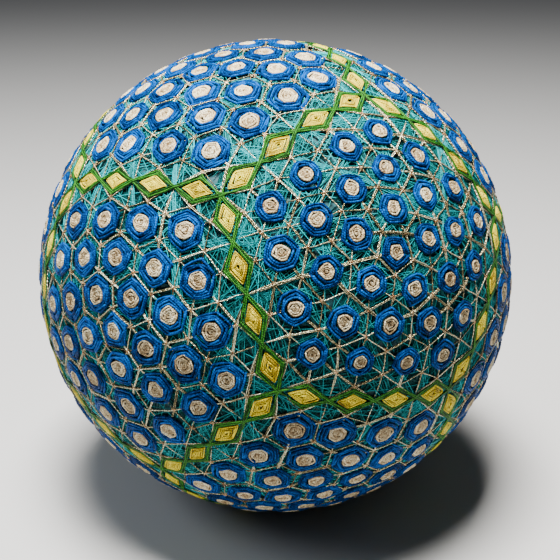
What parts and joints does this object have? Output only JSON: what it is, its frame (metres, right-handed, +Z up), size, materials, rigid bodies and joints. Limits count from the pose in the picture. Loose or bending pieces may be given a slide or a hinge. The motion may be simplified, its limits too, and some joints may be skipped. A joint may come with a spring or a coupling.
{
  "type": "temari ball",
  "caption": "Thread-wound temari ball, stitched all over with small raised hexagons and a net of diamonds, with one small flat spot to rest on.",
  "frame": {"origin": "middle of the small flat spot that the ball rests on", "axes": "+Z up through the ball's centre, -Y towards the side that shows the small hexagons at the upper right"},
  "size_m": [0.1149, 0.1149, 0.1137],
  "materials": {
    "ground_thread": "fine turquoise wrapping thread, wound criss-cross, matt with a faint sheen",
    "blue_thread": "twisted bright blue cotton with a soft lustre",
    "ivory_thread": "twisted ivory cotton with a soft lustre",
    "yellow_thread": "twisted straw yellow cotton with a soft lustre",
    "green_thread": "twisted leaf green and dark green cotton with a soft lustre",
    "gold_thread": "thin metal-wrapped thread in pale gold, glinting along its twist"
  },
  "bodies": {
    "root": {"ball": "ground_thread"}
  },
  "joints": []
}
